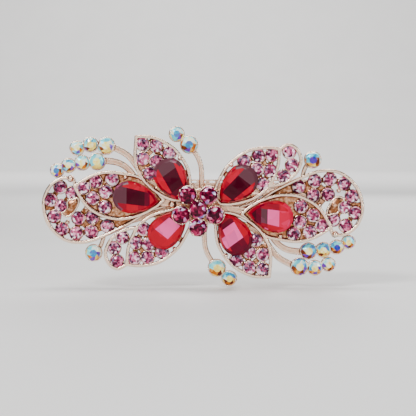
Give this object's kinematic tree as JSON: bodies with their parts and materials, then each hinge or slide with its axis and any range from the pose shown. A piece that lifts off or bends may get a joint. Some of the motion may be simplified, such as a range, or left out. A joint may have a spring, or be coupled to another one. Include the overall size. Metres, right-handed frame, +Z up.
{
  "type": "rhinestone hair clip",
  "caption": "Rhinestone hair clip: a two-winged openwork ornament with leaves, swirls, sprays and a flower, on a barrette plate with a hinged clasp arm and pinch catch.",
  "frame": {"origin": "middle of the gap that holds the hair, between the barrette plate and the clasp arm, on the plate's centre line", "axes": "+X along the barrette towards its hinge, +Z up across the plate, -Y towards the front of the ornament, +Y towards the head"},
  "size_m": [0.0832, 0.0198, 0.0413],
  "materials": {
    "rose_gold": "polished rose gold plating",
    "steel": "nickel plated",
    "spring_steel": "nickel plated spring steel",
    "pink_stone": "faceted, foil backed",
    "rose_stone": "faceted, foil backed",
    "red_stone": "step cut, foil backed",
    "aurora_stone": "faceted, aurora coated"
  },
  "bodies": {
    "ornament_and_plate": {"base_plate": "rose_gold", "hinge_pin": "steel", "tension_pin": "steel", "catch_bracket": "steel", "catch_rivet": "steel", "ornament_rivets": "steel", "branch_left": "rose_gold", "branch_right": "rose_gold", "hub": "rose_gold", "flower_setting": "rose_gold", "flower_petal_stones": "rose_stone", "flower_centre_stone": "rose_stone", "left_paisley_frame": "rose_gold", "left_paisley_stones": "pink_stone", "left_tall_leaf_frame": "rose_gold", "left_tall_leaf_stones": "pink_stone", "left_tall_leaf_pear": "red_stone", "left_side_leaf_frame": "rose_gold", "left_side_leaf_stones": "pink_stone", "left_side_leaf_pear": "red_stone", "left_lobed_leaf_frame": "rose_gold", "left_lobed_leaf_stones": "pink_stone", "left_lobed_leaf_pear": "red_stone", "left_long_spray_frame": "rose_gold", "left_long_spray_stones": "aurora_stone", "left_short_spray_frame": "rose_gold", "left_short_spray_stones": "aurora_stone", "left_antenna_frame": "rose_gold", "left_antenna_stones": "aurora_stone", "left_accent_frame": "rose_gold", "left_accent_stone": "aurora_stone", "right_paisley_frame": "rose_gold", "right_paisley_stones": "pink_stone", "right_tall_leaf_frame": "rose_gold", "right_tall_leaf_stones": "pink_stone", "right_tall_leaf_pear": "red_stone", "right_side_leaf_frame": "rose_gold", "right_side_leaf_stones": "pink_stone", "right_side_leaf_pear": "red_stone", "right_lobed_leaf_frame": "rose_gold", "right_lobed_leaf_stones": "pink_stone", "right_lobed_leaf_pear": "red_stone", "right_long_spray_frame": "rose_gold", "right_long_spray_stones": "aurora_stone", "right_short_spray_frame": "rose_gold", "right_short_spray_stones": "aurora_stone", "right_antenna_frame": "rose_gold", "right_antenna_stones": "aurora_stone", "right_accent_frame": "rose_gold", "right_accent_stone": "aurora_stone"},
    "clasp_arm": {"clasp_arm": "steel"},
    "tension_bar": {"tension_bar": "spring_steel"},
    "catch_prong_upper": {"catch_prong_upper": "spring_steel"},
    "catch_prong_lower": {"catch_prong_lower": "spring_steel"}
  },
  "joints": [
    {"name": "clasp_hinge", "type": "hinge", "parent": "ornament_and_plate", "child": "clasp_arm", "pos_m": [0.0294, 0.0035, 0], "axis": [0, 0, -1], "range_deg": [0, 75]},
    {"name": "tension_bar_flex", "type": "hinge", "parent": "ornament_and_plate", "child": "tension_bar", "pos_m": [0.0274, -0.0026, 0], "axis": [0, 0, -1], "range_deg": [0, 3]},
    {"name": "upper_prong_pinch", "type": "hinge", "parent": "ornament_and_plate", "child": "catch_prong_upper", "pos_m": [-0.0275, -0.0032, 0.00245], "axis": [-1, 0, 0], "range_deg": [0, 7], "stiffness_Nm_per_rad": 0.2},
    {"name": "lower_prong_pinch", "type": "hinge", "parent": "ornament_and_plate", "child": "catch_prong_lower", "pos_m": [-0.0275, -0.0032, -0.00245], "axis": [1, 0, 0], "range_deg": [0, 7], "stiffness_Nm_per_rad": 0.2}
  ],
  "couplings": [
    {"joint": "tension_bar_flex", "follows": "clasp_hinge", "ratio": 0.04}
  ]
}
